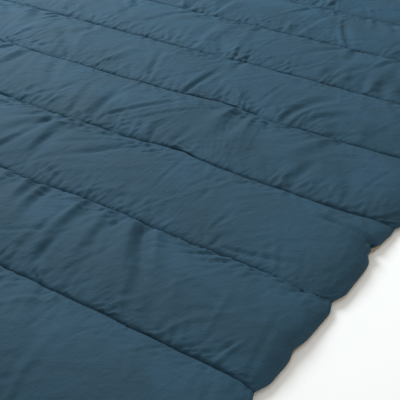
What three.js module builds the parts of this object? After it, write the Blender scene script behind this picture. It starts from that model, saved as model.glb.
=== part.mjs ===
// A quilted camp blanket, lying flat and open.
//
// Two cloth panels, the face above and the lining below, are quilted together by straight rows of
// lockstitch that run across the blanket. Each channel between two rows holds its own batt of wadding,
// and a seam all round closes the edge. Millimetres, +Z up: X runs along the quilting rows, Y from the
// foot to the head, and the origin is on the floor under the middle of the blanket.
//
// The blanket folds in half along its middle quilting row. A rigid panel can't bend, so each panel is
// cut in two at that row, and the head half turns about a line over the row, just above the loft.
import * as THREE from "three";

// Driving dimensions.
const WIDTH = 1400; // overall, along the quilting rows
const CHANNEL_PITCH = 200; // from one quilting row to the next
const CHANNELS_PER_HALF = 5;
const LOFT = 30; // floor to the top of a channel
const SEAM_LIFT = 6; // how far a quilting row holds the lining off the floor
const CLOTH = 1.2; // thickness of a panel, with the wadding that clings to it
const THREAD_RADIUS = 0.6;
const CLEARANCE = 0.3; // between pieces that touch, and across the fold
const STITCH_LAND = 1.4; // flat cloth on each side of a thread
const CHANNEL_ROUNDING = 75; // how far from a row a channel reaches its full loft
const SIDE_ROUNDING = 40; // how far in from a side edge it does
const GROOVE_ROUNDING = 44; // how far from a row the lining comes down to the floor
const WADDING_INSET = 6; // from a row or an edge to the wadding
const SHOULDER = 20; // from a row or an edge to where the cloth stops curving tightly
const THREAD_SIDES = 8;

// Sizes that follow from them.
const HALF_LENGTH = CHANNELS_PER_HALF * CHANNEL_PITCH;
const LAND = THREAD_RADIUS + STITCH_LAND;
const RIM_X = WIDTH / 2 - 2 * THREAD_RADIUS - CLEARANCE; // the cloth's own edges, inside the edge seam
const RIM_Y = HALF_LENGTH - 2 * THREAD_RADIUS - CLEARANCE;
const FACE_AT_ROW = SEAM_LIFT + 2 * CLOTH + CLEARANCE; // top of the face where the panels meet
const THREAD_OFFSET = CLEARANCE + THREAD_RADIUS; // from the cloth to the middle of a thread on it
const ROW_COUNT = 2 * CHANNELS_PER_HALF - 1;

const MATERIALS = {
  face: new THREE.MeshStandardMaterial({ color: 0x3a5564, roughness: 0.72, metalness: 0 }),
  lining: new THREE.MeshStandardMaterial({ color: 0x9c9484, roughness: 0.8, metalness: 0 }),
  wadding: new THREE.MeshStandardMaterial({ color: 0xf0f0ec, roughness: 0.95, metalness: 0 }),
  needleThread: new THREE.MeshStandardMaterial({ color: 0x2f4856, roughness: 0.6, metalness: 0 }),
  bobbinThread: new THREE.MeshStandardMaterial({ color: 0x8c8475, roughness: 0.6, metalness: 0 }),
};

const FOOT = { name: "foot", sign: -1, firstChannel: 1 };
const HEAD = { name: "head", sign: 1, firstChannel: CHANNELS_PER_HALF + 1 };
const SIDES = { left: -1, right: 1 };

const twoDigits = (number) => String(number).padStart(2, "0");
const range = (first, count) => Array.from({ length: count }, (_, i) => first + i);

// Rows and channels are counted from 1 at the foot, and channel 1 ends at row 1.
const rowY = (number) => (number - CHANNELS_PER_HALF) * CHANNEL_PITCH;
const ROWS = range(1, ROW_COUNT).map(rowY);

// The two edges of a channel, with the cloth's rim in place of a row at each end of the blanket.
function channelSpan(number) {
  return [rowY(number - 1), rowY(number)].map((y) => THREE.MathUtils.clamp(y, -RIM_Y, RIM_Y));
}

// A quarter of an ellipse: 0 at the start, and 1 from the full distance on.
function quarterRound(distance, full) {
  const left = 1 - THREE.MathUtils.clamp(distance / full, 0, 1);
  return Math.sqrt(1 - left * left);
}

// 0 on a row or at the rim, rising to 1 at the given distances in from them.
function roundness(x, y, acrossFull, sideFull) {
  const toRow = Math.min(RIM_Y - Math.abs(y), ...ROWS.map((row) => Math.abs(y - row)));
  const toSide = RIM_X - Math.abs(x);
  return quarterRound(toRow - LAND, acrossFull - LAND) * quarterRound(toSide - LAND, sideFull - LAND);
}

// The heights of the four faces of the cloth.
const liningBottom = (x, y) => SEAM_LIFT * (1 - roundness(x, y, GROOVE_ROUNDING, SIDE_ROUNDING));
const liningTop = (x, y) => liningBottom(x, y) + CLOTH;
const faceTop = (x, y) =>
  THREE.MathUtils.lerp(FACE_AT_ROW, LOFT, roundness(x, y, CHANNEL_ROUNDING, SIDE_ROUNDING));
const faceBottom = (x, y) => faceTop(x, y) - CLOTH;

// Places across a span, at the given distances in from each end.
function stations([low, high], insets) {
  const rising = insets.map((inset) => low + inset);
  const falling = insets.map((inset) => high - inset).reverse();
  return [...rising, ...falling];
}

const SIDE_INSETS = [WADDING_INSET, SHOULDER, SIDE_ROUNDING];
const ROW_INSETS = [WADDING_INSET, SHOULDER, GROOVE_ROUNDING, CHANNEL_ROUNDING];

// A closed solid between two heights over a grid of places. Every grid is split the same way, so
// that layers that share their places stay parallel.
function layer(xs, ys, bottomZ, topZ) {
  const points = [];
  for (const height of [bottomZ, topZ])
    for (const y of ys) for (const x of xs) points.push(x, y, height(x, y));
  const bottom = (i, j) => j * xs.length + i;
  const top = (i, j) => xs.length * ys.length + bottom(i, j);
  const faces = [];
  const quad = (a, b, c, d) => faces.push(a, b, c, a, c, d);
  const lastX = xs.length - 1;
  const lastY = ys.length - 1;
  for (let j = 0; j < lastY; j++)
    for (let i = 0; i < lastX; i++) {
      quad(top(i, j), top(i + 1, j), top(i + 1, j + 1), top(i, j + 1));
      faces.push(bottom(i, j), bottom(i + 1, j + 1), bottom(i + 1, j));
      faces.push(bottom(i, j), bottom(i, j + 1), bottom(i + 1, j + 1));
    }
  for (let i = 0; i < lastX; i++) {
    quad(bottom(i, 0), bottom(i + 1, 0), top(i + 1, 0), top(i, 0));
    quad(bottom(i + 1, lastY), bottom(i, lastY), top(i, lastY), top(i + 1, lastY));
  }
  for (let j = 0; j < lastY; j++) {
    quad(bottom(0, j + 1), bottom(0, j), top(0, j), top(0, j + 1));
    quad(bottom(lastX, j), bottom(lastX, j + 1), top(lastX, j + 1), top(lastX, j));
  }
  const geometry = new THREE.BufferGeometry();
  geometry.setAttribute("position", new THREE.Float32BufferAttribute(points, 3));
  geometry.setIndex(faces);
  geometry.computeVertexNormals();
  return geometry;
}

const blanket = new THREE.Group();

function add(name, geometry, material) {
  const mesh = new THREE.Mesh(geometry, material);
  mesh.name = name;
  blanket.add(mesh);
  return mesh;
}

// One half of a cloth panel, which stops half a clearance short of the fold.
function addPanel(cloth, half, bottomZ, topZ, material) {
  const xs = stations([-RIM_X, RIM_X], [0, LAND, ...SIDE_INSETS]);
  const channels = range(half.firstChannel, CHANNELS_PER_HALF);
  const inner = channels.flatMap((number) => [
    channelSpan(number)[0],
    ...stations(channelSpan(number), [LAND, ...ROW_INSETS]),
  ]);
  const ys = [...inner, channelSpan(channels.at(-1))[1]];
  const offFold = (y) => half.sign * Math.max(half.sign * y, CLEARANCE / 2);
  add(`${cloth}_${half.name}`, layer(xs, ys.map(offFold), bottomZ, topZ), material);
}

// The batt in one channel, a clearance inside the cloth above and below it.
function addWadding(number) {
  const xs = stations([-RIM_X, RIM_X], SIDE_INSETS);
  const ys = stations(channelSpan(number), ROW_INSETS);
  const bottom = (x, y) => liningTop(x, y) + CLEARANCE;
  const top = (x, y) => faceBottom(x, y) - CLEARANCE;
  add(`wadding_${twoDigits(number)}`, layer(xs, ys, bottom, top), MATERIALS.wadding);
}

// A straight thread, placed by its middle. It lies along Y, or along X where it is turned.
function addThread(name, length, turned, [x, y, z], material) {
  const thread = new THREE.CylinderGeometry(THREAD_RADIUS, THREAD_RADIUS, length, THREAD_SIDES);
  const mesh = add(name, thread, material);
  mesh.rotation.z = turned ? Math.PI / 2 : 0;
  mesh.position.set(x, y, z);
}

// A quilting row is a lockstitch: a needle thread over the face and a bobbin thread under the lining.
function addRow(number) {
  const needle = [0, rowY(number), FACE_AT_ROW + THREAD_OFFSET];
  const bobbin = [0, rowY(number), SEAM_LIFT - THREAD_OFFSET];
  const label = twoDigits(number);
  addThread(`needle_thread_${label}`, 2 * RIM_X, true, needle, MATERIALS.needleThread);
  addThread(`bobbin_thread_${label}`, 2 * RIM_X, true, bobbin, MATERIALS.bobbinThread);
}

// The seam that closes the rim: a thread across the end of a half, and one down each of its sides.
function addEdgeSeam(half) {
  const z = (SEAM_LIFT + FACE_AT_ROW) / 2;
  const endY = half.sign * (HALF_LENGTH - THREAD_RADIUS);
  addThread(`edge_thread_${half.name}`, 2 * RIM_X, true, [0, endY, z], MATERIALS.needleThread);
  const length = RIM_Y - CLEARANCE / 2;
  const middleY = (half.sign * (RIM_Y + CLEARANCE / 2)) / 2;
  for (const [side, sign] of Object.entries(SIDES)) {
    const place = [sign * (WIDTH / 2 - THREAD_RADIUS), middleY, z];
    addThread(`edge_thread_${side}_${half.name}`, length, false, place, MATERIALS.needleThread);
  }
}

for (const half of [FOOT, HEAD]) {
  addPanel("face_cloth", half, faceBottom, faceTop, MATERIALS.face);
  addPanel("lining_cloth", half, liningBottom, liningTop, MATERIALS.lining);
  addEdgeSeam(half);
}
range(1, 2 * CHANNELS_PER_HALF).forEach(addWadding);
range(1, ROW_COUNT).forEach(addRow);

export default blanket;
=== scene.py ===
import math
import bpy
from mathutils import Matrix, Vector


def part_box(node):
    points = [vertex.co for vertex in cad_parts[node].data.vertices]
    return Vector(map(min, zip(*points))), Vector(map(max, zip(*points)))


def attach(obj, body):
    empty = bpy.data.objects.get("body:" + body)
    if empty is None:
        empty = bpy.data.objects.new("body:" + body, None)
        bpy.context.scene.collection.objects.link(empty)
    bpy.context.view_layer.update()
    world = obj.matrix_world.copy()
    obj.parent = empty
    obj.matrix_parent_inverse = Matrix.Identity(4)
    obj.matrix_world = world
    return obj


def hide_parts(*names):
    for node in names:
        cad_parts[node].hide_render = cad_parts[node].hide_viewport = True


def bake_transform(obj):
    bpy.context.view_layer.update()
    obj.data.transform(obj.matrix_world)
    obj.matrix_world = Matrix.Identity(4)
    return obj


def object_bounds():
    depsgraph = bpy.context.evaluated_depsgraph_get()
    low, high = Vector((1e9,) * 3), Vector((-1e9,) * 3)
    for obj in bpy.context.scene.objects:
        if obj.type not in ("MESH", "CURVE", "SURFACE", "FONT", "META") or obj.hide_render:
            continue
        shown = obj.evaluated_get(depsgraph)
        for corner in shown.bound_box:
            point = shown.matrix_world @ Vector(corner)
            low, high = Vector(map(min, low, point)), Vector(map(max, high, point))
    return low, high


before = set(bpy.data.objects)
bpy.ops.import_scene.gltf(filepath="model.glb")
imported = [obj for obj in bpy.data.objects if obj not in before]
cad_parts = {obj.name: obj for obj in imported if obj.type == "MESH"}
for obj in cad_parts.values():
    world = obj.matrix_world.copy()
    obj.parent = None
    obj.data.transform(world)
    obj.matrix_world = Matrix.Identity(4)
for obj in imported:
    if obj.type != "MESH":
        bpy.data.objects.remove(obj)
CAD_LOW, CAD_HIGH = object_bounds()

from concurrent.futures import ThreadPoolExecutor

import bpy
import numpy as np
from mathutils import Matrix, Vector

MM = 0.001
COLLECTION = bpy.context.scene.collection


# ---- places that the frame gives

CHANNELS = 10
ROWS = CHANNELS - 1
HALF_CHANNELS = CHANNELS // 2
MIDDLE_ROW = HALF_CHANNELS


def middle(node):
    low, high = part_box(node)
    return (low + high) / 2


ROW_PLACES = [middle(f"needle_thread_{number:02d}") for number in range(1, ROWS + 1)]
PITCH = ROW_PLACES[1].y - ROW_PLACES[0].y
FIRST_ROW_Y = ROW_PLACES[0].y
HALF_LENGTH = CAD_HIGH.y
LOFT = CAD_HIGH.z


# ---- sizes of the cloth as sewn

CUT_ALONG = 1412 * MM  # length of both panels along the rows
FACE_CUT = 205 * MM  # cloth of the face from one row to the next
LINING_CUT = 202 * MM
ROW_HALF = 685 * MM  # half the length of a row, which its stitches draw in
RIM_HALF = 694 * MM  # half the width at the rim, between two rows
RIM_END = 5 * MM  # the foot and head rims lie this far inside the frame's ends
RIM_HEIGHT = 5 * MM
ROW_HEIGHT = 9 * MM
ROW_DROP = 30 * MM  # over this much of its end a row comes down to the rim
CROWN = LOFT - 4.5 * MM  # the middle of a channel, before folds
LIP = 6 * MM  # the face rises this much close beside a row
LIP_WIDTH = 1.8 * MM
LIP_REACH = 13 * MM
LIP_CHANGE = 2.6 * MM  # how much the lips rise and fall along a row
TUCK = 3.6 * MM  # how far the face folds over the stitches where they gather it
TUCK_REACH = 6 * MM
TUCK_START = 1.5 * MM
FINE_FADE = 5 * MM  # fine folds fade out over this much beside a row and the rim
LEAST_ROOM = 5 * MM  # between the panels, away from the rows
CLOTH_GAP = 0.4 * MM  # half the distance between the panels where they are sewn together
LINING_SHOWS = 0.4 * MM  # how far the lining's rim reaches past the face's
SEAM_ALLOWANCE = 7 * MM  # turned in at the rim
SIDE_POWER = 2.1  # 2 is an ellipse, and more is flatter on top
FACE_SIDE = 62 * MM  # how far in from the rim the side of the wadding reaches
LINING_SIDE = 24 * MM
LINING_DROP = 3.2  # how steeply the lining comes down from a row, as a rate over half a channel
RIM_TURN = 3.5  # how steeply the ends of a channel come out from its rows to the rim, likewise

# How far chance moves the rows and the surface.
ROW_SWAY = 3 * MM
ROW_JITTER = 2 * MM
ROW_BUNCHING = 5 * MM
ROW_RIPPLE = 1.6 * MM
RIM_RIPPLE = 1.2 * MM
RIM_WAVE = 0.8 * MM
CROWN_CHANGE = 2.5 * MM

# The cloth settles on a coarse grid and then on finer ones. The grid is of one sheet, which is the part
# of a panel in one channel: cells across, cells along, steps.
LEVELS = ((11, 110, 80), (22, 220, 60), (44, 440, 50))


# ---- smooth seeded noise

# Each seed is followed by one for every row, or one or two for every channel.
SWAY_SEED, JITTER_SEED, RIPPLE_SEED, BUNCHING_SEED = 100, 200, 300, 400
DIMPLE_SEED, WAVE_SEED, CROWN_SEED, LIP_SEED, TUCK_SEED = 500, 520, 600, 640, 660
FOLD_SEEDS = {"face": 700, "lining": 900}
FINE_SEEDS = {"face": 1100, "lining": 1300}
FLUFF_SEED = 1900


def spline_weights(places, knots):
    """Cubic B-spline weights of that many knots, at places from 0 to 1."""
    t = np.clip(places, 0, 1) * (knots - 3) * 0.999999
    first = t.astype(int)
    f = t - first
    basis = ((1 - f) ** 3, 3 * f**3 - 6 * f**2 + 4, -3 * f**3 + 3 * f**2 + 3 * f + 1, f**3)
    weights = np.zeros((len(t), knots))
    for k, values in enumerate(basis):
        weights[np.arange(len(t)), first + k] = values / 6
    return weights


def noise_line(places, knots, seed):
    return spline_weights(places, knots) @ np.random.RandomState(seed).uniform(-1, 1, knots)


def noise_grid(across, along, knots_across, knots_along, seed):
    knots = np.random.RandomState(seed).uniform(-1, 1, (knots_across, knots_along))
    return spline_weights(across, knots_across) @ knots @ spline_weights(along, knots_along).T


def smooth(t):
    """0 below 0, 1 above 1, and a soft step between."""
    t = np.clip(t, 0, 1)
    return t * t * (3 - 2 * t)


# ---- rows and rim, as the blanket lies

# Where a row bows towards the head (+) or the foot (-), by row: x, half width and depth in millimetres.
BOWS = {
    1: ((-300, 100, 5), (60, 90, 4)),
    2: ((-350, 90, 6), (130, 60, -9), (470, 110, -6), (645, 45, -14), (700, 25, 9)),
    3: ((-420, 100, -5), (-30, 45, -9), (50, 25, -5), (280, 60, 13), (700, 50, 8)),
    4: ((-250, 80, -5), (230, 90, 14), (370, 40, -6)),
    5: ((250, 200, 3),),
    6: ((-200, 120, 5), (400, 90, -5)),
    7: ((300, 110, -6), (-220, 130, 4)),
    8: ((-400, 90, 5), (280, 90, -5)),
    9: ((100, 110, -5),),
}
# Where the rim buckles between two rows, by channel and side: share across the channel, depth in
# millimetres, and half width as a share.
KNOWN_DIMPLES = {(2, 1): ((0.45, 5, 0.07),), (3, 1): ((0.64, 14, 0.07), (0.75, 9, 0.28))}
CHANCE_DIMPLE_WIDTH = 0.07


def row_points(number, along):
    """Points of a row, at places from 0 on the left to 1. Rows 0 and 10 are the foot and head rims."""
    x = (2 * along - 1) * ROW_HALF
    bunching = ROW_BUNCHING * noise_line(along, 24, BUNCHING_SEED + number) * np.sin(np.pi * along)
    sway = ROW_SWAY * noise_line(along, 7, SWAY_SEED + number)
    sway = sway + ROW_JITTER * noise_line(along, 64, JITTER_SEED + number)
    sway = sway * smooth(np.minimum(along, 1 - along) / 0.04)
    for place, reach, depth in BOWS.get(number, ()):
        sway = sway + depth * MM * np.exp(-(((x / MM - place) / reach) ** 2))
    y = FIRST_ROW_Y + (number - 1) * PITCH + sway
    height = ROW_HEIGHT + ROW_RIPPLE * noise_line(along, 26, RIPPLE_SEED + number)
    if number in (0, CHANNELS):
        y = np.sign(number - 1) * (HALF_LENGTH - RIM_END) + 0.5 * sway
        height = RIM_HEIGHT + RIM_RIPPLE * noise_line(along, 30, RIPPLE_SEED + number)
    off_rim = smooth(np.minimum(along, 1 - along) * 2 * ROW_HALF / ROW_DROP)
    return np.stack([x + bunching, y, RIM_HEIGHT + (height - RIM_HEIGHT) * off_rim], -1)


def rim_inset(channel, side, across):
    """How far the rim at one end of a channel lies inside its widest: 0 or more, at shares across."""
    place = 2 * channel + (side > 0)
    rng = np.random.RandomState(DIMPLE_SEED + place)
    dimples = KNOWN_DIMPLES.get((channel, side))
    if dimples is None:
        dimples = [(rng.uniform(0.35, 0.65), rng.uniform(0, 9), CHANCE_DIMPLE_WIDTH)]
    inset = RIM_WAVE * (1 + noise_line(across, 9, WAVE_SEED + place))
    for share, depth, reach in dimples:
        inset = inset + depth * MM * np.exp(-(((across - share) / reach) ** 2))
    return inset


# ---- the shape that the wadding gives


def along_curve(flat, tall, share):
    """Interpolates a profile at shares of its length, which is the last thing returned."""
    run = np.concatenate([[0], np.cumsum(np.hypot(np.diff(flat), np.diff(tall)))])
    wanted = np.clip(share, 0, 1) * run[-1]
    return np.interp(wanted, run, flat) / flat[-1], np.interp(wanted, run, tall) / tall[-1], run[-1]


def crown_profile(share):
    """From a row to the middle of a channel: a narrow lip beside the stitches, then a soft crown."""
    t = np.linspace(0, 1, 600)
    lip = LIP * (1 - np.exp(-t * PITCH / 2 / LIP_WIDTH))
    tall = lip + (CROWN - ROW_HEIGHT - LIP) * np.sin(t * np.pi / 2)
    return along_curve(t * PITCH / 2, tall, share)


def side_profile(share, width, height):
    """From the rim up to the crown, for a side of that width and height."""
    angle = np.linspace(0, np.pi / 2, 400)
    flat = (1 - np.cos(angle) ** (2 / SIDE_POWER)) * width
    return along_curve(flat, np.sin(angle) ** (2 / SIDE_POWER) * height, share)


def end_profile(panel, from_end):
    """At distances along the cloth from the rim: how far out it lies, its share of the full height, and
    how far in the dimples of the rim reach."""
    width = FACE_SIDE if panel == "face" else LINING_SIDE
    height = CROWN - RIM_HEIGHT if panel == "face" else RIM_HEIGHT
    run = side_profile(np.zeros(1), width, height)[2]
    inward, rise, _ = side_profile(from_end / run, width, height)
    level = 1 - np.clip((from_end - run) / (CUT_ALONG / 2 - run), 0, 1)
    widest = RIM_HALF + (0 if panel == "face" else LINING_SHOWS)
    inset_reach = 1.5 * width
    return np.where(from_end < run, widest - inward * width, (widest - width) * level), rise, inset_reach


def lip_changes(channel, across, along, rise):
    """How the lips beside a channel's two rows rise and fall."""
    off_seam = (1 - np.abs(2 * across - 1)) * PITCH / 2
    near_seam = (np.exp(-((off_seam / LIP_REACH) ** 2)) - np.exp(-off_seam / LIP_WIDTH))[:, None] * rise[None]
    low, high = (noise_line(along, 70, LIP_SEED + 2 * channel + upper)[None] for upper in (0, 1))
    return LIP_CHANGE * near_seam * np.where(across[:, None] < 0.5, low, high)


def sheet_target(channel, panel, across, along):
    """Where the wadding holds a channel's sheet, for shares of its cloth across and along."""
    half = 1 - np.abs(2 * across - 1)
    y_share, dome = crown_profile(half)[:2] if panel == "face" else (half, smooth(half * LINING_DROP))
    y_share = np.where(across < 0.5, y_share / 2, 1 - y_share / 2)
    low_row, high_row = row_points(channel - 1, along), row_points(channel, along)
    share = y_share[:, None, None]
    points = low_row[None] * (1 - share) + high_row[None] * share

    from_end = (1 - np.abs(2 * along - 1)) * CUT_ALONG / 2
    x_inside, rise, inset_reach = end_profile(panel, from_end)
    side = np.sign(along - 0.5)
    insets = {s: rim_inset(channel, s, across) for s in (-1, 1)}
    near_end = 1 - smooth(from_end / inset_reach)
    inset = np.where(side[None] < 0, insets[-1][:, None], insets[1][:, None]) * near_end[None]
    off_row = smooth(half * RIM_TURN)[:, None]
    points[..., 0] = points[..., 0] * (1 - off_row) + (x_inside[None] - inset) * side[None] * off_row
    if panel == "face":
        crown = CROWN + CROWN_CHANGE * noise_grid(across, along, 5, 16, CROWN_SEED + channel)
        points[..., 2] += (crown - points[..., 2]) * dome[:, None] * rise[None]
        points[..., 2] += lip_changes(channel, across, along, rise)
    else:
        points[..., 2] *= 1 - dome[:, None] * rise[None]
    return points


def normals_of(points):
    normal = np.cross(np.gradient(points, axis=-2), np.gradient(points, axis=-3))
    return normal / np.maximum(np.linalg.norm(normal, axis=-1, keepdims=True), 1e-9)


# ---- folds

# A fold is a soft ridge, or a valley where its height is negative, with the opposite beside it. It
# follows a curve from a start by a bend to an end: (start, bend, end, half width, height), all in mm.
# These are by channel, placed after the photo, and the rest of the folds are left to chance.
KNOWN_FOLDS = {
    1: (
        ((340, -875), (365, -835), (410, -806), 6, 2.5), ((250, -806), (270, -850), (300, -905), 10, -3),
        ((225, -806), (245, -860), (280, -930), 10, 3),
    ),
    2: (
        ((60, -604), (85, -690), (120, -770), 11, -2.8), ((90, -604), (115, -690), (150, -760), 9, 3),
        ((135, -604), (165, -670), (190, -715), 9, 3.2), ((152, -604), (172, -670), (185, -705), 8, -2.8),
        ((172, -604), (188, -670), (220, -735), 8, 3.4), ((192, -610), (200, -655), (210, -690), 8, -3),
        ((262, -604), (275, -680), (300, -793), 6, 4), ((288, -620), (310, -700), (330, -760), 12, -3.4),
        ((262, -690), (277, -740), (286, -785), 9, -3.5), ((305, -725), (312, -755), (316, -785), 7, -3.5),
        ((325, -606), (348, -690), (375, -775), 9, -4.5), ((345, -604), (346, -630), (350, -660), 6, -3.5),
        ((380, -606), (420, -672), (493, -780), 12, -5.8), ((404, -604), (452, -672), (524, -770), 12, 3.4),
        ((220, -745), (256, -718), (300, -680), 4, -1.5), ((345, -797), (326, -783), (320, -760), 6, 3),
        ((440, -686), (531, -699), (610, -708), 5, -2.5),
    ),
    3: (
        ((85, -404), (55, -500), (92, -580), 14, -5), ((60, -404), (28, -495), (62, -580), 12, 4),
        ((148, -596), (130, -570), (118, -545), 7, -3.5), ((38, -404), (-13, -432), (-60, -485), 10, -4),
        ((60, -404), (0, -455), (-45, -510), 9, 3), ((90, -510), (130, -473), (182, -415), 4, -2),
        ((112, -555), (177, -500), (232, -404), 7, -3), ((240, -404), (200, -420), (165, -436), 5, -2.5),
        ((160, -560), (260, -520), (330, -420), 7, 2), ((230, -560), (330, -530), (420, -440), 7, -1.5),
        ((588, -446), (640, -452), (705, -466), 7, -4),
    ),
    4: (
        ((100, -396), (78, -325), (76, -262), 7, 4), ((82, -396), (62, -325), (58, -255), 9, -3.5),
        ((20, -396), (0, -331), (-30, -250), 12, 3.5), ((-60, -396), (-72, -372), (-78, -345), 7, 3),
        ((100, -365), (147, -294), (200, -210), 5, -2.5), ((205, -396), (188, -365), (204, -310), 8, 2),
        ((225, -396), (210, -360), (228, -300), 8, -1.6), ((274, -396), (264, -344), (270, -300), 8, -1.6),
        ((290, -204), (282, -255), (322, -340), 14, 4), ((345, -215), (365, -290), (392, -390), 10, -4),
        ((335, -204), (348, -265), (375, -335), 10, 3.5),
    ),
    5: (
        ((400, -196), (412, -125), (480, -85), 12, 4.5), ((425, -196), (440, -145), (510, -105), 9, -4),
        ((380, -196), (385, -110), (450, -55), 9, -3),
    ),
}
# Pleats fall from a crest on one side of their curve to a trough on the other, half a width away each.
PLEATS = {
    1: (
        ((262, -806), (282, -850), (318, -915), 8, 1.6), ((350, -806), (375, -850), (420, -900), 8, 1.3),
    ),
    2: (
        ((60, -604), (95, -690), (130, -775), 9, 1.2), ((141, -604), (170, -668), (200, -725), 7, 1.2),
        ((180, -604), (190, -665), (226, -742), 7, 1.3), ((269, -604), (281, -690), (306, -793), 8, 1.4),
        ((300, -640), (316, -700), (330, -760), 7, 1.5), ((324, -604), (345, -691), (374, -785), 9, 1.7),
        ((366, -604), (404, -672), (482, -780), 10, 2.9),
    ),
    3: (
        ((88, -404), (58, -500), (96, -585), 9, 2.2), ((40, -404), (10, -450), (-20, -540), 8, 1.8),
        ((236, -404), (184, -450), (150, -520), 6, 1.2), ((-90, -404), (-120, -470), (-110, -560), 8, 1.6),
    ),
    4: (
        ((104, -396), (84, -325), (82, -258), 7, 1.4), ((40, -396), (20, -331), (-10, -240), 9, 1.6),
        ((292, -204), (284, -262), (322, -350), 9, 1.5), ((350, -204), (362, -280), (398, -385), 9, 1.9),
    ),
    5: (
        ((404, -196), (418, -120), (490, -80), 8, 1.9), ((386, -196), (392, -110), (455, -55), 8, 1.4),
    ),
}
# Thin sharp creases.
CREASES = {
    2: (
        ((225, -742), (256, -718), (300, -682), 4, -1.8), ((468, -678), (531, -698), (608, -708), 4.5, -2.2),
        ((345, -797), (330, -783), (320, -762), 4, 1.8),
    ),
    3: (
        ((588, -446), (680, -455), (790, -490), 5, -4.5), ((594, -457), (680, -466), (790, -502), 8, 3),
        ((584, -438), (596, -446), (612, -440), 4, 2), ((190, -420), (130, -473), (70, -530), 4.5, -2.2),
        ((236, -408), (177, -500), (105, -565), 4.5, -2.2), ((245, -406), (190, -432), (130, -452), 4.5, -2),
        ((215, -405), (150, -470), (95, -545), 4, 1.5), ((505, -592), (570, -585), (645, -562), 4.5, -2.2),
    ),
    4: (
        ((98, -370), (147, -294), (204, -205), 4.5, -2), ((150, -392), (120, -350), (118, -300), 4, 1.5),
        ((130, -370), (175, -300), (235, -215), 4.5, 1.6), ((160, -345), (200, -285), (262, -215), 4.5, -1.6),
    ),
}
# Where the stitching has drawn the face up, by row: x and half width in millimetres.
KNOWN_GATHERS = {
    1: ((290, 40),),
    2: ((150, 45), (255, 60), (345, 30)),
    3: ((-60, 50), (80, 35), (175, 55), (285, 25)),
    4: ((280, 60), (390, 40)),
}
FOLD_SHARE = {"face": 0.85, "lining": 0.35}  # how much of their height the folds have on each panel
FINE_SHARE = {"face": 1, "lining": 0.35}
FOLD_SEGMENTS = 5
FOLD_REACH = 4.5  # half widths of a fold over which its section is added
PLEAT_TAIL, FOLD_TAIL = 0.3, 0.5  # the last share of the length, over which one fades out
FOLD_START = 3  # millimetres from its row

# What chance adds in each channel: how many, and the greatest height in millimetres.
FANS, FAN_HEIGHT = 16, 4.4
PUCKERS, PUCKER_HEIGHT = 240, 1.2
PACKED_CREASES, PACKED_HEIGHT = 110, 1.3
CHANCE_PLEATS, PLEAT_HEIGHT = 16, 2.2
GATHER_SPACING, GATHER_HEIGHT = 2.2, 1.5  # gathers are as many as the spacing fits in their half width
LONGEST_FOLD = 185
PACKED_ANGLES = (34, 34, 110, 75)  # degrees from the rows
PLACED_FROM, PLACED_TO = -120, 420  # along a row, the stretch where the gathers are listed
PLEATS_PLACED_FROM = -130


def soft_fold(s, height):
    """The section of a fold, at s half widths from its curve: a ridge or a rounder valley, with the
    opposite beside it, more on one side than on the other."""
    crest = np.exp(-(np.abs(s) ** 1.35)) if height > 0 else 0.85 * np.exp(-(s**2))
    return crest - 0.35 * np.exp(-((s - 1.9) ** 2)) - 0.2 * np.exp(-((s + 1.9) ** 2))


def pleat(s, height):
    return np.interp(s, (-4, -1, 1, 4), (0, 1.4, -1.4, 0))


def off_curve(xy, line):
    """For points beside a line of segments: the distance, negative on its right, and the share of its
    length where they are nearest to it."""
    nearest = np.full(xy.shape[:2], 1e9)
    signed, place = np.zeros_like(nearest), np.zeros_like(nearest)
    for k, (p, q) in enumerate(zip(line, line[1:])):
        step, away = q - p, xy - p
        share = np.clip((away @ step) / (step @ step), 0, 1)
        off = away - share[..., None] * step
        distance = np.sqrt((off * off).sum(-1))
        closer = distance < nearest
        nearest = np.where(closer, distance, nearest)
        turn = np.sign(step[0] * away[..., 1] - step[1] * away[..., 0])
        signed = np.where(closer, distance * turn, signed)
        place = np.where(closer, (k + share) / FOLD_SEGMENTS, place)
    return signed, place


def add_ridge(field, points, fold, section=soft_fold, tail=FOLD_TAIL):
    """Adds one fold to the heights over a grid of points, in the columns that it reaches."""
    start, bend, end, width, height = fold
    start, bend, end = (np.array(p) * MM for p in (start, bend, end))
    reach = FOLD_REACH * width * MM
    columns = points[len(points) // 2, :, 0]
    low = np.searchsorted(columns, min(start[0], bend[0], end[0]) - reach)
    high = np.searchsorted(columns, max(start[0], bend[0], end[0]) + reach)
    if high - low < 2:
        return
    t = np.linspace(0, 1, FOLD_SEGMENTS + 1)[:, None]
    line = (1 - t) ** 2 * start + 2 * t * (1 - t) * bend + t**2 * end
    signed, place = off_curve(points[:, low:high, :2], line)
    s = signed / (width * MM * (0.7 + 0.8 * place))
    fade = smooth((1 - place) / tail) * smooth((place + 0.04) / 0.12)
    field[:, low:high] += height * MM * section(s, height) * fade


def channel_start(channel):
    """The foot side of a channel, in millimetres."""
    return (FIRST_ROW_Y - PITCH) / MM + (channel - 1) * PITCH / MM


def fold_from_row(rng, channel, x, lean, reach, width, height, from_low=None):
    """A fold that starts at x on one of a channel's rows, the lower one or either, and runs into it."""
    if from_low is None:
        from_low = rng.rand() < 0.5
    away = 1 if from_low else -1
    y = channel_start(channel) + (FOLD_START if from_low else PITCH / MM - FOLD_START)
    end = (x - away * lean * reach, y + away * reach)
    bend = ((x + end[0]) / 2 + rng.normal(0, 0.06) * reach, (y + end[1]) / 2)
    return ((x, y), bend, end, width, height)


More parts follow.
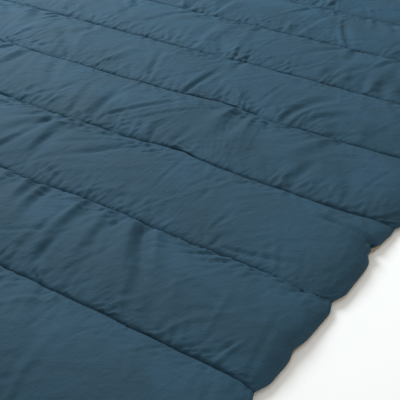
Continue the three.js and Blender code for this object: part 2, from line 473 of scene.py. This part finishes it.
def chance_folds(channel, seed):
    """Fans of folds: each fan leaves one place on a row."""
    rng = np.random.RandomState(seed + channel)
    folds = []
    for _ in range(FANS):
        x, fan_lean = rng.uniform(-670, 670), rng.normal(0.25, 0.4)
        for _ in range(rng.randint(2, 5)):
            reach, width = rng.uniform(0.3, 1.0) * LONGEST_FOLD, rng.uniform(6, 13)
            lean, height = fan_lean + rng.normal(0, 0.35), rng.uniform(-1, 1) * FAN_HEIGHT
            folds.append(fold_from_row(rng, channel, x + rng.normal(0, 20), lean, reach, width, height))
    return folds


def gathers(channel, seed):
    """Fine folds, close together, on both sides of the places where a row is drawn up."""
    folds = []
    for row, from_low in ((channel - 1, True), (channel, False)):
        rng = np.random.RandomState(seed + 2 * row + from_low)
        places = list(KNOWN_GATHERS.get(row, ()))
        placed_to = PLACED_TO if places else -680
        places += [(x, 40) for x in rng.uniform(-680, 680, 7) if not PLACED_FROM < x < placed_to]
        for x, width in places:
            for _ in range(int(width / GATHER_SPACING)):
                start = x + rng.uniform(-1, 1) * width
                lean = rng.normal(0, 0.4) if from_low else rng.normal(-0.9, 0.6)
                reach, size = rng.uniform(20, 75), rng.uniform(2.6, 4.4)
                height = rng.uniform(-1, 1) * GATHER_HEIGHT
                folds.append(fold_from_row(rng, channel, start, lean, reach, size, height, from_low))
    return folds


def puckers(channel, seed):
    """Short fine folds that the stitches draw up all along a row."""
    rng = np.random.RandomState(seed + channel)
    folds = []
    for _ in range(PUCKERS):
        x, lean = rng.uniform(-680, 680), rng.normal(0.4, 0.7)
        reach, width = rng.uniform(18, 75), rng.uniform(2.8, 5.5)
        height = rng.uniform(-1, 1) * PUCKER_HEIGHT
        folds.append(fold_from_row(rng, channel, x, lean, reach, width, height))
    return folds


def packed_creases(channel, seed):
    """Long thin creases that are left in the cloth from when it was packed."""
    rng = np.random.RandomState(seed + channel)
    folds = []
    for _ in range(PACKED_CREASES):
        angle = math.radians(rng.choice(PACKED_ANGLES) + rng.normal(0, 14))
        x, y = rng.uniform(-670, 670), channel_start(channel) + rng.uniform(15, 185)
        reach, width = rng.uniform(20, 100), rng.uniform(3.4, 5.2)
        height = rng.uniform(-1, 1) * PACKED_HEIGHT
        step = reach * math.cos(angle), reach * math.sin(angle)
        bend = x + rng.normal(0, 5), y + rng.normal(0, 5)
        folds.append(((x - step[0], y - step[1]), bend, (x + step[0], y + step[1]), width, height))
    return folds


def chance_pleats(channel, seed):
    """Pleats in the parts where none is listed."""
    rng = np.random.RandomState(seed + channel)
    folds = []
    for _ in range(CHANCE_PLEATS):
        x, lean = rng.uniform(-660, 660), rng.normal(0.25, 0.45)
        reach, width, height = rng.uniform(70, 190), rng.uniform(6, 10), rng.uniform(1, PLEAT_HEIGHT)
        if channel > HALF_CHANNELS or x < PLEATS_PLACED_FROM:
            folds.append(fold_from_row(rng, channel, x, lean, reach, width, height))
    return folds


def tucks(row, along):
    """How far the face folds over a row, from its foot side (+) or its head side (-), as a share."""
    if row in (0, MIDDLE_ROW, CHANNELS):
        return 0 * along
    x = (2 * along - 1) * ROW_HALF / MM
    drawn = sum(np.exp(-(((x - place) / reach) ** 2)) for place, reach in KNOWN_GATHERS.get(row, ()))
    return 0.5 * noise_line(along, 110, TUCK_SEED + row) * (1 + drawn) + 0.4 * drawn


def tuck_over(points, channel, across, along):
    """Folds the edges of a face sheet over the stitches of its two rows."""
    for row, side, off in ((channel - 1, -1, across), (channel, 1, 1 - across)):
        off = off[:, None] * PITCH
        near = np.exp(-((off / TUCK_REACH) ** 2)) * (1 - np.exp(-off / TUCK_START))
        amount = TUCK * np.maximum(side * tucks(row, along), 0)[None] * near
        points[..., 1] += side * amount
        points[..., 2] += 0.6 * amount


def fold_heights(channel, panel, points):
    """Heights of the folds that the cloth then settles over."""
    folds = chance_folds(channel, FOLD_SEEDS[panel])
    if panel == "face" and channel in KNOWN_FOLDS:
        known = KNOWN_FOLDS[channel]
        places = [fold[0][0] for fold in known]
        folds = [fold for fold in folds if not min(places) < fold[0][0] < max(places) + 20] + list(known)
    field = np.zeros(points.shape[:2])
    for fold in folds:
        add_ridge(field, points, fold)
    return FOLD_SHARE[panel] * field


def fine_heights(channel, panel, points):
    """Heights of what is too fine to settle, and is added to the settled cloth."""
    seed = FINE_SEEDS[panel]
    folds = puckers(channel, seed) + packed_creases(channel, seed + 400)
    pleats = []
    if panel == "face":
        folds += gathers(channel, seed + 800) + list(CREASES.get(channel, ()))
        pleats = list(PLEATS.get(channel, ())) + chance_pleats(channel, seed + 900)
    field = np.zeros(points.shape[:2])
    for fold in folds:
        add_ridge(field, points, fold)
    for fold in pleats:
        add_ridge(field, points, fold, pleat, PLEAT_TAIL)
    return FINE_SHARE[panel] * field


# ---- the cloth settles


def across_places(cells):
    """Shares of the cloth across a channel, closer together next to the rows."""
    u = np.linspace(0, 1, cells + 1)
    return u - 0.45 * np.sin(2 * np.pi * u) / (2 * np.pi)


def flat_pattern(panel, across, along):
    """Where a sheet's points lie in the cut cloth."""
    flat = np.zeros((len(across), len(along), 2))
    flat[..., 0] = (along * CUT_ALONG)[None]
    flat[..., 1] = (across * (FACE_CUT if panel == "face" else LINING_CUT))[:, None]
    return flat


# What the cloth resists: stretch along the threads, shear between them, and bending. Each is a
# distance on the grid (across, along), and the share of its error that one step corrects.
HOLDS = {(0, 1): 1, (1, 0): 1, (1, 1): 0.35, (1, -1): 0.35, (0, 2): 0.12, (2, 0): 0.06, (0, 4): 0.03}
DRIFT = 0.92  # share of its last step that the cloth goes on with
PUSH_OUT, PUSH_IN = 0.05, 0.03  # share of the way to its target that the wadding moves it in a step


def make_links(flat, free):
    """Pairs of slices of the grid that keep their distance in the cut cloth, and how far each moves."""
    rows, columns = flat.shape[:2]
    links = []
    for (da, dl), stiffness in HOLDS.items():
        for start in range(2 * (da or dl)):
            if da:
                p_rows, q_rows = slice(start, rows - da, 2 * da), slice(start + da, rows, 2 * da)
                p_columns = slice(max(0, -dl), columns - max(0, dl))
                q_columns = slice(max(0, dl), columns - max(0, -dl))
            else:
                p_rows = q_rows = slice(None)
                p_columns = slice(start, columns - dl, 2 * dl)
                q_columns = slice(start + dl, columns, 2 * dl)
            p, q = (p_rows, p_columns), (q_rows, q_columns)
            rest = np.linalg.norm(flat[p] - flat[q], axis=-1).astype(np.float32)
            share = (stiffness / np.maximum(free[p] + free[q], 1e-6)).astype(np.float32)
            links.append(((slice(None), *p), (slice(None), *q), rest, share * free[p], share * free[q]))
    return links


def settle(points, target, normal, flat, floor, steps):
    """Lets sheets settle on their wadding. The arrays are by sheet, across, along and xyz."""
    free = np.ones(flat.shape[:2], np.float32)
    free[(0, -1), :] = 0
    free[:, (0, -1)] = 0
    links = make_links(flat, free)
    before = points.copy()
    for _ in range(steps):
        drift = (points - before) * DRIFT
        before = points.copy()
        push = np.einsum("...k,...k", target - points, normal)
        push *= np.where(push > 0, np.float32(PUSH_OUT), np.float32(PUSH_IN))
        points += (drift + normal * push[..., None]) * free[..., None]
        for p, q, rest, share_p, share_q in links:
            gap = points[q] - points[p]
            length = np.sqrt(np.einsum("...k,...k", gap, gap)) + np.float32(1e-9)
            excess = (length - rest) / length
            points[p] += gap * (excess * share_p)[..., None]
            points[q] -= gap * (excess * share_q)[..., None]
        np.maximum(points[..., 2], floor, out=points[..., 2])
    return points


def pressed(height):
    """Presses what stands high softly down, to stay below the frame's top."""
    start, room = LOFT - 6 * MM, 5.8 * MM
    return np.where(height > start, start + room * np.tanh((height - start) / room), height)


def finer(points):
    """The same sheets with twice as many cells each way."""
    for axis in (1, 2):
        points = np.moveaxis(points, axis, 0)
        twice = np.empty((2 * len(points) - 1, *points.shape[1:]), points.dtype)
        twice[::2] = points
        twice[1::2] = (points[1:] + points[:-1]) / 2
        points = np.moveaxis(twice, 0, axis)
    return points


def folded_target(panel, channels, across, along):
    """The shapes that the sheets settle over, and the directions in which the wadding pushes them."""
    target = np.stack([sheet_target(channel, panel, across, along) for channel in channels])
    normal = normals_of(target) if panel == "face" else np.zeros_like(target) + (0, 0, 1)
    folds = np.stack([fold_heights(channel, panel, t) for channel, t in zip(channels, target)])
    if panel == "face":
        under = np.stack([sheet_target(channel, "lining", across, along) for channel in channels])
        folds = np.maximum(folds, -0.6 * (target - under)[..., 2])
    target = target + normal * folds[..., None]
    target[..., 2] = pressed(target[..., 2])
    return target, normal


def with_fine_detail(points, normal, panel, channels, across, along):
    """Settled sheets with their puckers, creases and pleats, which fade out at the rows and the rim."""
    fine = np.stack([fine_heights(channel, panel, p) for channel, p in zip(channels, points)])
    off_edge = np.minimum(1 - np.abs(2 * across - 1), 0.5)[:, None] * PITCH / 2
    off_rim = (1 - np.abs(2 * along - 1))[None] * CUT_ALONG / 2
    fine *= smooth(np.minimum(off_edge, off_rim) / FINE_FADE)
    points = points + normal * fine[..., None]
    if panel == "face":
        for channel, sheet in zip(channels, points):
            tuck_over(sheet, channel, across, along)
    points[..., 2] = pressed(points[..., 2]) if panel == "face" else np.maximum(points[..., 2], 0)
    return points


def settled_sheets(panel, channels):
    """The sheets of a panel in those channels, settled on a coarse grid and then on finer ones."""
    points = None
    for cells_across, cells_along, steps in LEVELS:
        across, along = across_places(cells_across), np.linspace(0, 1, cells_along + 1)
        target, normal = folded_target(panel, channels, across, along)
        points = target.copy() if points is None else finer(points)
        for pinned in ((slice(None), (0, -1)), (slice(None), slice(None), (0, -1))):
            points[pinned] = target[pinned]
        arrays = [np.ascontiguousarray(a, dtype=np.float32) for a in (points, target, normal)]
        floor = -1.0 if panel == "face" else 0.0
        steps = steps
        points = settle(*arrays, flat_pattern(panel, across, along), floor, steps)
    return with_fine_detail(points, normal, panel, channels, across, along)


def settled_panels():
    """Both panels as lists of ten sheets, foot to head. A few channels settle at a time, side by side."""
    pairs = [range(first, first + 2) for first in range(1, CHANNELS, 2)]
    groups = [(panel, pair) for panel in ("face", "lining") for pair in pairs]
    with ThreadPoolExecutor(4) as pool:
        found = list(pool.map(lambda group: settled_sheets(*group), groups))
    face, lining = np.concatenate(found[: len(pairs)]), np.concatenate(found[len(pairs) :])
    off_row = 1 - np.abs(2 * across_places(LEVELS[-1][0]) - 1)
    room = LEAST_ROOM * smooth(off_row / 0.05)[:, None] * np.ones(face.shape[2])
    room[:, (0, -1)] = 0
    face[..., 2] = np.maximum(face[..., 2], lining[..., 2] + room)
    return {"face": face, "lining": lining}


# ---- meshes


def make_object(name, vertices, faces, material):
    """A smooth-shaded mesh object. Each face has the same number of corners."""
    mesh = bpy.data.meshes.new(name)
    vertices = np.asarray(vertices, np.float32)
    faces = np.asarray(faces, np.int32)
    corners = faces.shape[1]
    mesh.vertices.add(len(vertices))
    mesh.vertices.foreach_set("co", vertices.ravel())
    mesh.loops.add(faces.size)
    mesh.loops.foreach_set("vertex_index", faces.ravel())
    mesh.polygons.add(len(faces))
    mesh.polygons.foreach_set("loop_start", np.arange(0, faces.size, corners, dtype=np.int32))
    mesh.polygons.foreach_set("loop_total", np.full(len(faces), corners, np.int32))
    mesh.update(calc_edges=True)
    mesh.shade_smooth()
    mesh.materials.append(material)
    obj = bpy.data.objects.new(name, mesh)
    COLLECTION.objects.link(obj)
    return obj


def grid_faces(rows, columns, flip=False):
    index = np.arange(rows * columns).reshape(rows, columns)
    quads = np.stack([index[:-1, :-1], index[:-1, 1:], index[1:, 1:], index[1:, :-1]], -1).reshape(-1, 4)
    return quads[:, ::-1] if flip else quads


def set_cloth_map(obj, coordinates):
    """Gives each vertex its place in the cut cloth, in metres, as the UV map that materials read."""
    layer = obj.data.uv_layers.new(name="cloth")
    corners = np.empty(len(obj.data.loops), np.int32)
    obj.data.loops.foreach_get("vertex_index", corners)
    layer.data.foreach_set("uv", coordinates.reshape(-1, 2)[corners].astype(np.float32).ravel())


HALVES = {"foot": (0, HALF_CHANNELS), "head": (HALF_CHANNELS, CHANNELS)}


def bend_at_fold(obj):
    """Bakes a piece's transform into its mesh."""
    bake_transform(obj)


def join_sheets(sheets):
    """One grid from the sheets of neighbouring channels, which share their rows."""
    return np.concatenate([sheets[0][:1]] + [sheet[1:] for sheet in sheets])


def with_allowance(points, first_rim, last_rim):
    """Adds the seam allowance, turned in flat between the panels, along the sides and an end rim."""
    inward = np.zeros_like(points[:, :1])
    inward[..., 0] = SEAM_ALLOWANCE
    points = np.concatenate([points[:, :1] + inward, points, points[:, -1:] - inward], axis=1)
    turn = np.zeros_like(points[:1])
    turn[..., 1] = SEAM_ALLOWANCE
    parts = [points[:1] + turn] * first_rim + [points] + [points[-1:] - turn] * last_rim
    return np.concatenate(parts)


def make_panel(panel, half, sheets, material):
    """One half of a panel. The two halves meet in the middle row, where the blanket bends."""
    first, last = HALVES[half]
    points = join_sheets(sheets[first:last])
    points[..., 2] += CLOTH_GAP if panel == "face" else -CLOTH_GAP
    cut = FACE_CUT if panel == "face" else LINING_CUT
    across = across_places(LEVELS[-1][0])
    v = np.concatenate([[first * cut]] + [(channel + across[1:]) * cut for channel in range(first, last)])
    u = np.linspace(0, CUT_ALONG, points.shape[1])
    flat = np.stack(np.broadcast_arrays(u[None], v[:, None], 0 * u[None]), -1)
    points = with_allowance(points, half == "foot", half == "head")
    flat = with_allowance(flat, half == "foot", half == "head")[..., :2]
    faces = grid_faces(*points.shape[:2], flip=panel == "lining")
    obj = make_object(f"{panel}_{half}", points.reshape(-1, 3), faces, material)
    set_cloth_map(obj, flat)
    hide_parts(f"{panel}_cloth_{half}")
    bend_at_fold(obj)


# ---- wadding and stitches

WADDING_CELLS = 4  # the wadding keeps this many of the sheets' cells away from a row
WADDING_END = 5  # and this many from the rim
WADDING_GAP = 1.2 * MM
WADDING_LEAST = 0.5 * MM
WADDING_FLUFF = 0.5 * MM


def lowest_near(heights, reach_across, reach_along):
    """The lowest height in a window round each point of a grid."""
    found = heights.copy()
    for axis, reach in ((0, reach_across), (1, reach_along)):
        padded = np.moveaxis(found, axis, 0)
        padded = np.concatenate([padded[:1]] * reach + [padded] + [padded[-1:]] * reach)
        size = found.shape[axis]
        found = np.moveaxis(np.min([padded[k : k + size] for k in range(2 * reach + 1)], axis=0), 0, axis)
    return found


def wadding_surfaces(channel, panels):
    """Grids of points just inside the two sheets of a channel, every second and fifth of theirs."""
    inside = np.s_[WADDING_CELLS:-WADDING_CELLS:2, WADDING_END:-WADDING_END:5]
    face, lining = (panels[panel][channel - 1].astype(float) for panel in ("face", "lining"))
    top, bottom = face[inside].copy(), lining[inside].copy()
    bottom[..., 2] = -lowest_near(-lining[..., 2], 2, 5)[inside] + WADDING_GAP
    top[..., 2] = lowest_near(face[..., 2], 2, 5)[inside] - WADDING_GAP
    top[..., 2] -= WADDING_FLUFF * np.random.RandomState(FLUFF_SEED + channel).uniform(0, 1, top.shape[:2])
    thin = top[..., 2] - bottom[..., 2] < WADDING_LEAST
    between = (face[inside] + lining[inside])[..., 2] / 2
    for surface, side in ((top, 1), (bottom, -1)):
        surface[..., 2] = np.where(thin, between + side * WADDING_LEAST / 2, surface[..., 2])
    return top, bottom


def closed_between(top, bottom):
    """Points and faces of the closed body between two grids."""
    rows, columns = top.shape[:2]
    index = np.arange(rows * columns).reshape(rows, columns)
    ring = np.concatenate([index[0, :-1], index[:-1, -1], index[-1, :0:-1], index[:0:-1, 0]])
    after = np.roll(ring, -1)
    under = rows * columns
    walls = np.stack([after, ring, ring + under, after + under], -1)
    faces = np.concatenate([grid_faces(rows, columns), grid_faces(rows, columns, flip=True) + under, walls])
    return np.concatenate([top.reshape(-1, 3), bottom.reshape(-1, 3)]), faces


def make_wadding(channel, panels, material):
    """The loose fibre that fills one channel: a closed body between its two sheets."""
    points, faces = closed_between(*wadding_surfaces(channel, panels))
    obj = make_object(f"fibre_{channel:02d}", points, faces, material)
    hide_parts(f"wadding_{channel:02d}")
    if channel in (HALF_CHANNELS, HALF_CHANNELS + 1):
        bend_at_fold(obj)
    else:
        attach(obj, "foot_half" if channel <= HALF_CHANNELS else "head_half")


THREAD_RADIUS = 0.3 * MM
STITCH_PITCH = 3.6 * MM
STITCH_LENGTH = 3.0 * MM
STITCH_SIDES = 6
RIM_SEAM_INSET = 1.5 * MM
# The sections of a stitch: place as a share of its length, and size and rise in thread radii.
STITCH_RINGS = ((0, 0.5, -1.6), (0.25, 1, 0.2), (0.75, 1, 0.2), (1, 0.5, -1.6))


def at_length(path, run, lengths):
    """Points of a path at those lengths, where run holds the length at each of its own points."""
    return np.stack([np.interp(lengths, run, path[:, k]) for k in range(3)], -1)


def stitch_points(path, away):
    """Points by stitch, ring and side. The stitches stand proud of the cloth in the direction away."""
    run = np.concatenate([[0], np.cumsum(np.linalg.norm(np.diff(path, axis=0), axis=1))])
    starts = np.arange(STITCH_PITCH, run[-1] - 2 * STITCH_PITCH, STITCH_PITCH)
    turn = np.arange(STITCH_SIDES) * 2 * np.pi / STITCH_SIDES
    rings = []
    for place, radius, rise in STITCH_RINGS:
        centre = at_length(path, run, starts + place * STITCH_LENGTH)
        ahead = at_length(path, run, starts + place * STITCH_LENGTH + 0.5 * MM) - centre
        ahead /= np.linalg.norm(ahead, axis=1, keepdims=True)
        aside = np.cross(ahead, away)
        aside /= np.linalg.norm(aside, axis=1, keepdims=True)
        up = np.cross(aside, ahead)
        round_it = np.cos(turn)[:, None] * aside[:, None] + np.sin(turn)[:, None] * up[:, None]
        rings.append(centre[:, None] + THREAD_RADIUS * (rise * up[:, None] + radius * round_it))
    return np.stack(rings, 1)


def stitch_faces(count):
    """The faces of that many stitches: quads round each, and two over each end of six sides."""
    one = []
    for ring in range(0, (len(STITCH_RINGS) - 1) * STITCH_SIDES, STITCH_SIDES):
        for side in range(STITCH_SIDES):
            a, b = ring + side, ring + (side + 1) % STITCH_SIDES
            one.append((a, b, b + STITCH_SIDES, a + STITCH_SIDES))
    last = (len(STITCH_RINGS) - 1) * STITCH_SIDES
    one += [(3, 2, 1, 0), (5, 4, 3, 0)]
    one += [(last, last + 1, last + 2, last + 3), (last, last + 3, last + 4, last + 5)]
    faces = np.array(one)[None] + (np.arange(count) * len(STITCH_RINGS) * STITCH_SIDES)[:, None, None]
    return faces.reshape(-1, 4)


def make_stitches(name, path, away, node, material, body):
    """A row of stitches along a path, which rides on a body if it is given one."""
    points = stitch_points(path, away)
    obj = make_object(name, points.reshape(-1, 3), stitch_faces(len(points)), material)
    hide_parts(node)
    if body:
        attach(obj, body)
    else:
        bend_at_fold(obj)


def body_of_row(number):
    """The half that a row is on, or none for the middle row, where the blanket bends."""
    return None if number == MIDDLE_ROW else "foot_half" if number < MIDDLE_ROW else "head_half"


def make_row_stitches(panels):
    for number in range(1, ROWS + 1):
        row = panels["face"][number - 1][-1].astype(float)
        for side, thread, material in ((1, "needle", NEEDLE_MATERIAL), (-1, "bobbin", BOBBIN_MATERIAL)):
            path = row + (0, 0, side * (CLOTH_GAP + 0.6 * THREAD_RADIUS))
            name = f"{thread}_stitches_{number:02d}"
            node, slot = f"{thread}_thread_{number:02d}", f"{thread}_thread"
            make_stitches(name, path, (0, 0, side), node, material, body_of_row(number))


def make_rim_stitches(panels):
    """The seam that closes the rim, between the two turned-in allowances."""
    lining = panels["lining"]
    rims = {
        "foot": (lining[0][0] + (0, RIM_SEAM_INSET, 0), "foot_half"),
        "head": (lining[-1][-1] - (0, RIM_SEAM_INSET, 0), "head_half"),
    }
    for side, column, shift in (("left", 0, RIM_SEAM_INSET), ("right", -1, -RIM_SEAM_INSET)):
        for half, (first, last) in HALVES.items():
            rims[f"{side}_{half}"] = (join_sheets(lining[first:last])[:, column] + (shift, 0, 0), None)
    for rim, (path, body) in rims.items():
        name, node = f"rim_stitches_{rim}", f"edge_thread_{rim}"
        make_stitches(name, path.astype(float), (0, 0, 1), node, NEEDLE_MATERIAL, body)


# ---- materials


class Material:
    """A material with one Principled shader, and short ways to add the nodes that feed it."""

    def __init__(self, name, colour, roughness, specular, sheen=0.0):
        self.material = bpy.data.materials.new(name)
        self.material.use_nodes = True
        self.nodes = self.material.node_tree.nodes
        self.links = self.material.node_tree.links
        self.shader = self.nodes["Principled BSDF"]
        self.shader.inputs["Base Color"].default_value = (*colour, 1)
        self.shader.inputs["Roughness"].default_value = roughness
        self.shader.inputs["Specular IOR Level"].default_value = specular
        self.shader.inputs["Sheen Weight"].default_value = sheen
        self.shader.inputs["Sheen Roughness"].default_value = 0.5
        self.bump = None

    def node(self, kind, **inputs):
        made = self.nodes.new("ShaderNode" + kind)
        for name, value in inputs.items():
            self.feed(made.inputs[name.replace("_", " ")], value)
        return made

    def feed(self, socket, value):
        if isinstance(value, bpy.types.NodeSocket):
            self.links.new(value, socket)
        else:
            socket.default_value = value

    def math(self, operation, a, b):
        made = self.node("Math")
        made.operation = operation
        self.feed(made.inputs[0], a)
        self.feed(made.inputs[1], b)
        return made.outputs[0]

    def stretched(self, source, x, y, z=1.0, turn=0.0):
        """The coordinates, turned by degrees and then multiplied."""
        turned = self.node("Mapping", Vector=source, Rotation=(0, 0, math.radians(turn)))
        return self.node("Mapping", Vector=turned.outputs[0], Scale=(x, y, z)).outputs[0]

    def noise(self, vector, scale, detail=2.0, roughness=0.5, distortion=0.0):
        made = self.node("TexNoise", Vector=vector, Scale=scale, Detail=detail)
        made.inputs["Roughness"].default_value = roughness
        made.inputs["Distortion"].default_value = distortion
        return made.outputs["Fac"]

    def waves(self, vector, scale, direction):
        made = self.node("TexWave", Vector=vector, Scale=scale)
        made.bands_direction = direction
        return made.outputs["Fac"]

    def ramp(self, value, *stops):
        """Colours at places from 0 to 1."""
        made = self.node("ValToRGB", Fac=value)
        elements = made.color_ramp.elements
        while len(elements) < len(stops):
            elements.new(0.5)
        for element, (place, colour) in zip(elements, stops):
            element.position = place
            element.color = (*colour, 1)
        return made.outputs["Color"]

    def raise_by(self, height, distance, strength=1.0):
        """Adds bump, on top of what is there already."""
        made = self.node("Bump", Height=height, Strength=strength, Distance=distance)
        if self.bump:
            self.links.new(self.bump, made.inputs["Normal"])
        self.bump = made.outputs["Normal"]
        self.links.new(self.bump, self.shader.inputs["Normal"])


TONE_SPREAD = 0.22


def woven(name, colours, cut, thread, slub, wrinkle, roughness, specular, sheen):
    """Plain woven cloth, in darker, middle and lighter tones. Cut is its length from row to row, thread
    the pitch of its weave, slub how much its uneven threads show, and wrinkle the depth of its creases.
    The noise is in cells to the metre of cut cloth."""
    cloth = Material(name, colours[1], roughness, specular, sheen)
    place = cloth.node("UVMap")
    place.uv_map = "cloth"
    place = place.outputs["UV"]

    weft_slubs = cloth.noise(cloth.stretched(place, 14, 420), 1, 3, 0.6)
    warp_slubs = cloth.noise(cloth.stretched(place, 380, 18), 1, 2, 0.6)
    slubs = cloth.math("ADD", weft_slubs, cloth.math("MULTIPLY", warp_slubs, 0.5))
    patches = cloth.noise(place, 9, 4, 0.55, 0.6)
    tone = cloth.math("ADD", cloth.math("MULTIPLY", slubs, slub), patches)
    mean = 0.5 + 0.75 * slub
    stops = zip((mean - TONE_SPREAD, mean, mean + TONE_SPREAD), colours)
    cloth.feed(cloth.shader.inputs["Base Color"], cloth.ramp(tone, *stops))

    crinkle = cloth.noise(cloth.stretched(place, 26, 70, turn=-34), 1, 5, 0.6, 0.8)
    crumple = cloth.noise(cloth.stretched(place, 60, 22, turn=12), 1, 4, 0.55, 0.6)
    cloth.raise_by(cloth.math("ADD", crinkle, crumple), wrinkle)
    v = cloth.node("SeparateXYZ", Vector=place).outputs["Y"]
    to_row = cloth.math("ADD", cloth.math("PINGPONG", v, cut / 2), 5 * MM)
    near_row = cloth.math("MINIMUM", cloth.math("DIVIDE", 6 * MM, to_row), 1.0)
    drawn_up = cloth.noise(cloth.stretched(place, 170, 34, turn=24), 1, 3, 0.5, 0.5)
    cloth.raise_by(cloth.math("MULTIPLY", drawn_up, near_row), 2 * wrinkle)
    cloth.raise_by(slubs, 0.12 * MM)
    weft, warp = (cloth.waves(place, 1 / thread / 2, direction) for direction in "XY")
    cloth.raise_by(cloth.math("MULTIPLY", weft, warp), 0.05 * MM, 0.6)
    return cloth.material


def loose_fibre(name, dark, light):
    fibre = Material(name, light, 0.95, 0.1, 0.2)
    place = fibre.node("TexCoord").outputs["Object"]
    strands = fibre.noise(fibre.stretched(place, 60, 260, 200), 1, 8, 0.7, 1.5)
    fibre.feed(fibre.shader.inputs["Base Color"], fibre.ramp(strands, (0.3, dark), (0.65, light)))
    fibre.raise_by(strands, 1.5 * MM)
    return fibre.material


def twisted_thread(name, dark, light):
    thread = Material(name, light, 0.5, 0.3, 0.1)
    place = thread.node("TexCoord").outputs["Object"]
    plies = thread.waves(place, 1 / THREAD_RADIUS / 4, "DIAGONAL")
    thread.feed(thread.shader.inputs["Base Color"], thread.ramp(plies, (0.2, dark), (0.8, light)))
    thread.raise_by(plies, 0.1 * MM)
    return thread.material


TEAL = ((0.026, 0.062, 0.091), (0.028, 0.069, 0.105), (0.030, 0.076, 0.118))
BEIGE = ((0.318, 0.28, 0.222), (0.33, 0.29, 0.23), (0.342, 0.301, 0.239))
WEAVE_PITCH = 0.4 * MM
FACE_MATERIAL = woven(
    "teal_polyester", TEAL, FACE_CUT, WEAVE_PITCH, slub=0.45, wrinkle=1.3 * MM, roughness=0.7, specular=0.05,
    sheen=0.0
)
LINING_MATERIAL = woven(
    "beige_lining", BEIGE, LINING_CUT, WEAVE_PITCH, slub=0.4, wrinkle=0.7 * MM, roughness=0.8, specular=0.2,
    sheen=0.05
)
FIBRE_MATERIAL = loose_fibre("white_fibre", (0.72, 0.72, 0.71), (0.88, 0.88, 0.87))
NEEDLE_MATERIAL = twisted_thread("teal_thread", (0.014, 0.036, 0.052), (0.024, 0.062, 0.088))
BOBBIN_MATERIAL = twisted_thread("beige_thread", (0.24, 0.21, 0.165), (0.36, 0.32, 0.26))

panels = settled_panels()
for half in HALVES:
    make_panel("lining", half, panels["lining"], LINING_MATERIAL)
    make_panel("face", half, panels["face"], FACE_MATERIAL)
for channel in range(1, CHANNELS + 1):
    make_wadding(channel, panels, FIBRE_MATERIAL)
make_row_stitches(panels)
make_rim_stitches(panels)


# ---- camera, floor and light


def make_camera():
    """Above the floor outside the right edge, looking down over the blanket to its head and left side."""
    yaw, pitch = math.radians(34.4), math.radians(32.4)
    data = bpy.data.cameras.new("camera")
    data.sensor_width = 36
    data.lens = 74.7
    camera = bpy.data.objects.new("camera", data)
    COLLECTION.objects.link(camera)
    place = (CAD_HIGH.x + 326 * MM, FIRST_ROW_Y - 610 * MM, 713 * MM)
    aim = Matrix.Rotation(yaw, 4, "Z") @ Matrix.Rotation(math.pi / 2 - pitch, 4, "X")
    camera.matrix_world = Matrix.Translation(place) @ aim
    bpy.context.scene.camera = camera


def make_floor():
    size, level = 8, -0.6 * MM
    corners = [(x * size, y * size, level) for x, y in ((-1, -1), (1, -1), (1, 1), (-1, 1))]
    material = Material("floor", (1, 1, 1), 0.9, 0.3).material
    make_object("floor", corners, [(0, 1, 2, 3)], material)


def area_light(name, place, aim, size, energy, colour):
    light = bpy.data.lights.new(name, "AREA")
    light.size = size
    light.energy = energy
    light.color = colour
    obj = bpy.data.objects.new(name, light)
    obj.location = place
    obj.rotation_euler = (Vector(aim) - Vector(place)).to_track_quat("-Z", "Y").to_euler()
    COLLECTION.objects.link(obj)


def make_light():
    world = bpy.data.worlds.new("studio")
    bpy.context.scene.world = world
    world.use_nodes = True
    background = world.node_tree.nodes["Background"]
    background.inputs["Color"].default_value = (1, 0.98, 0.92, 1)
    background.inputs["Strength"].default_value = 0.6
    area_light("key", (-1.8, 0.8, 1.65), aim=(0, -0.3, 0), size=1.15, energy=99, colour=(0.84, 0.93, 1.0))
    bpy.context.scene.view_settings.view_transform = "Standard"


make_camera()
make_floor()
make_light()
